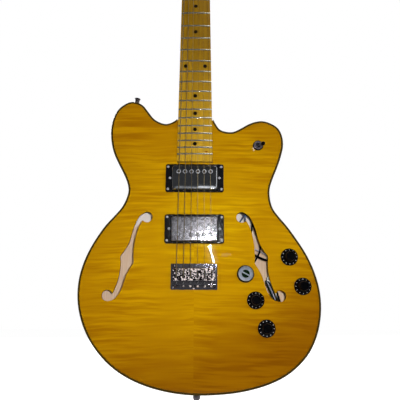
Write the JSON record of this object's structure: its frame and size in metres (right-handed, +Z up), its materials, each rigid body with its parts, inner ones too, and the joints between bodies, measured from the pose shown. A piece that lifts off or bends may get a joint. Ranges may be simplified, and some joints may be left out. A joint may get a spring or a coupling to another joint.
{
  "type": "semi-hollow electric guitar",
  "caption": "Semi-hollow electric guitar with a maple top, f-holes, covered pickups, a fixed bridge, four skirted knobs, a dial, a selector switch and a bolted maple neck.",
  "frame": {"origin": "middle of the nut line, in the plane of the body top's face, where a wall hanger's yoke takes the neck", "axes": "+Z up the neck towards the headstock, +X to the treble side, -Y out of the front face"},
  "size_m": [0.3624, 0.0684, 1.0259],
  "materials": {
    "top_maple": "gloss amber lacquer on flamed maple",
    "side_maple": "gloss amber lacquer",
    "bare_wood": "bare sanded wood",
    "dark_binding": "dark brown, gloss",
    "neck_maple": "satin lacquer on maple",
    "bone": "polished bone",
    "chrome": "bright chrome plating",
    "plated_steel": "dull plated steel",
    "string_steel": "nickel wound and plain steel",
    "black_plastic": "black, gloss",
    "wire_cover": "soft wire insulation"
  },
  "bodies": {
    "guitar": {"top_plate": "top_maple", "back_plate": "side_maple", "rim": "side_maple", "centre_block": "bare_wood", "top_binding": "dark_binding", "neck": "neck_maple", "nut": "bone", "neck_plate": "chrome", "strap_button_horn": "chrome", "strap_button_tail": "chrome", "output_jack": "chrome", "bridge_plate": "chrome", "pickup_ring_neck": "black_plastic", "pickup_ring_bridge": "black_plastic", "pot_1": "plated_steel", "pot_2": "plated_steel", "pot_3": "plated_steel", "pot_4": "plated_steel", "pot_5": "plated_steel", "toggle_switch": "chrome", "string_1": "string_steel", "string_2": "string_steel", "string_3": "string_steel", "string_4": "string_steel", "string_5": "string_steel", "string_6": "string_steel", "tuner_housing_1": "chrome", "tuner_housing_2": "chrome", "tuner_housing_3": "chrome", "tuner_housing_4": "chrome", "tuner_housing_5": "chrome", "tuner_housing_6": "chrome", "wiring_harness": "wire_cover"},
    "knob_1": {"knob_1": "black_plastic"},
    "knob_2": {"knob_2": "black_plastic"},
    "knob_3": {"knob_3": "black_plastic"},
    "knob_4": {"knob_4": "black_plastic"},
    "knob_5": {"knob_5": "black_plastic"},
    "toggle_lever": {"toggle_lever": "chrome"},
    "saddle_1": {"saddle_1": "chrome"},
    "saddle_2": {"saddle_2": "chrome"},
    "saddle_3": {"saddle_3": "chrome"},
    "saddle_4": {"saddle_4": "chrome"},
    "saddle_5": {"saddle_5": "chrome"},
    "saddle_6": {"saddle_6": "chrome"},
    "pickup_neck": {"pickup_neck": "chrome"},
    "pickup_bridge": {"pickup_bridge": "chrome"},
    "tuner_button_1": {"tuner_button_1": "chrome"},
    "tuner_post_1": {"tuner_post_1": "chrome"},
    "tuner_button_2": {"tuner_button_2": "chrome"},
    "tuner_post_2": {"tuner_post_2": "chrome"},
    "tuner_button_3": {"tuner_button_3": "chrome"},
    "tuner_post_3": {"tuner_post_3": "chrome"},
    "tuner_button_4": {"tuner_button_4": "chrome"},
    "tuner_post_4": {"tuner_post_4": "chrome"},
    "tuner_button_5": {"tuner_button_5": "chrome"},
    "tuner_post_5": {"tuner_post_5": "chrome"},
    "tuner_button_6": {"tuner_button_6": "chrome"},
    "tuner_post_6": {"tuner_post_6": "chrome"}
  },
  "joints": [
    {"name": "knob_1_turn", "type": "hinge", "parent": "guitar", "child": "knob_1", "pos_m": [0.14389, 0, -0.62784], "axis": [0, -1, 0], "range_deg": [-150, 150]},
    {"name": "knob_2_turn", "type": "hinge", "parent": "guitar", "child": "knob_2", "pos_m": [0.16236, 0, -0.67156], "axis": [0, -1, 0], "range_deg": [-150, 150]},
    {"name": "knob_3_turn", "type": "hinge", "parent": "guitar", "child": "knob_3", "pos_m": [0.09169, 0, -0.69229], "axis": [0, -1, 0], "range_deg": [-150, 150]},
    {"name": "knob_4_turn", "type": "hinge", "parent": "guitar", "child": "knob_4", "pos_m": [0.10691, 0, -0.73286], "axis": [0, -1, 0], "range_deg": [-150, 150]},
    {"name": "knob_5_turn", "type": "hinge", "parent": "guitar", "child": "knob_5", "pos_m": [0.07718, 0, -0.65353], "axis": [0, -1, 0], "range_deg": [-150, 150]},
    {"name": "selector_tilt", "type": "hinge", "parent": "guitar", "child": "toggle_lever", "pos_m": [0.10075, 0.0015, -0.44982], "axis": [0.3256, 0, 0.9455], "range_deg": [-40, 0]},
    {"name": "saddle_1_slide", "type": "slide", "parent": "guitar", "child": "saddle_1", "axis": [0, 0, 1], "range_m": [-0.003, 0.001]},
    {"name": "saddle_2_slide", "type": "slide", "parent": "guitar", "child": "saddle_2", "axis": [0, 0, 1], "range_m": [-0.003, 0.001]},
    {"name": "saddle_3_slide", "type": "slide", "parent": "guitar", "child": "saddle_3", "axis": [0, 0, 1], "range_m": [-0.003, 0.001]},
    {"name": "saddle_4_slide", "type": "slide", "parent": "guitar", "child": "saddle_4", "axis": [0, 0, 1], "range_m": [-0.003, 0.001]},
    {"name": "saddle_5_slide", "type": "slide", "parent": "guitar", "child": "saddle_5", "axis": [0, 0, 1], "range_m": [-0.003, 0.001]},
    {"name": "saddle_6_slide", "type": "slide", "parent": "guitar", "child": "saddle_6", "axis": [0, 0, 1], "range_m": [-0.003, 0.001]},
    {"name": "pickup_neck_height", "type": "slide", "parent": "guitar", "child": "pickup_neck", "axis": [0, 1, 0], "range_m": [-0.001, 0.003]},
    {"name": "pickup_bridge_height", "type": "slide", "parent": "guitar", "child": "pickup_bridge", "axis": [0, 1, 0], "range_m": [-0.001, 0.003]},
    {"name": "tuner_button_1_turn", "type": "hinge", "parent": "guitar", "child": "tuner_button_1", "pos_m": [-0.02089, 0.0215, 0.038], "axis": [-0.9601, 0, 0.2795], "continuous": true},
    {"name": "tuner_post_1_turn", "type": "hinge", "parent": "guitar", "child": "tuner_post_1", "pos_m": [-0.02089, 0, 0.038], "axis": [0, -1, 0], "continuous": true},
    {"name": "tuner_button_2_turn", "type": "hinge", "parent": "guitar", "child": "tuner_button_2", "pos_m": [-0.01371, 0.0215, 0.0625], "axis": [-0.9601, 0, 0.2795], "continuous": true},
    {"name": "tuner_post_2_turn", "type": "hinge", "parent": "guitar", "child": "tuner_post_2", "pos_m": [-0.01371, 0, 0.0625], "axis": [0, -1, 0], "continuous": true},
    {"name": "tuner_button_3_turn", "type": "hinge", "parent": "guitar", "child": "tuner_button_3", "pos_m": [-0.00655, 0.0215, 0.087], "axis": [-0.9601, 0, 0.2795], "continuous": true},
    {"name": "tuner_post_3_turn", "type": "hinge", "parent": "guitar", "child": "tuner_post_3", "pos_m": [-0.00655, 0, 0.087], "axis": [0, -1, 0], "continuous": true},
    {"name": "tuner_button_4_turn", "type": "hinge", "parent": "guitar", "child": "tuner_button_4", "pos_m": [0.0006, 0.0215, 0.11149], "axis": [-0.9601, 0, 0.2795], "continuous": true},
    {"name": "tuner_post_4_turn", "type": "hinge", "parent": "guitar", "child": "tuner_post_4", "pos_m": [0.0006, 0, 0.11149], "axis": [0, -1, 0], "continuous": true},
    {"name": "tuner_button_5_turn", "type": "hinge", "parent": "guitar", "child": "tuner_button_5", "pos_m": [0.00769, 0.0215, 0.13599], "axis": [-0.9601, 0, 0.2795], "continuous": true},
    {"name": "tuner_post_5_turn", "type": "hinge", "parent": "guitar", "child": "tuner_post_5", "pos_m": [0.00769, 0, 0.13599], "axis": [0, -1, 0], "continuous": true},
    {"name": "tuner_button_6_turn", "type": "hinge", "parent": "guitar", "child": "tuner_button_6", "pos_m": [0.01477, 0.0215, 0.16049], "axis": [-0.9601, 0, 0.2795], "continuous": true},
    {"name": "tuner_post_6_turn", "type": "hinge", "parent": "guitar", "child": "tuner_post_6", "pos_m": [0.01477, 0, 0.16049], "axis": [0, -1, 0], "continuous": true}
  ],
  "couplings": [
    {"joint": "tuner_post_1_turn", "follows": "tuner_button_1_turn", "ratio": 0.0667},
    {"joint": "tuner_post_2_turn", "follows": "tuner_button_2_turn", "ratio": 0.0667},
    {"joint": "tuner_post_3_turn", "follows": "tuner_button_3_turn", "ratio": 0.0667},
    {"joint": "tuner_post_4_turn", "follows": "tuner_button_4_turn", "ratio": 0.0667},
    {"joint": "tuner_post_5_turn", "follows": "tuner_button_5_turn", "ratio": 0.0667},
    {"joint": "tuner_post_6_turn", "follows": "tuner_button_6_turn", "ratio": 0.0667}
  ]
}
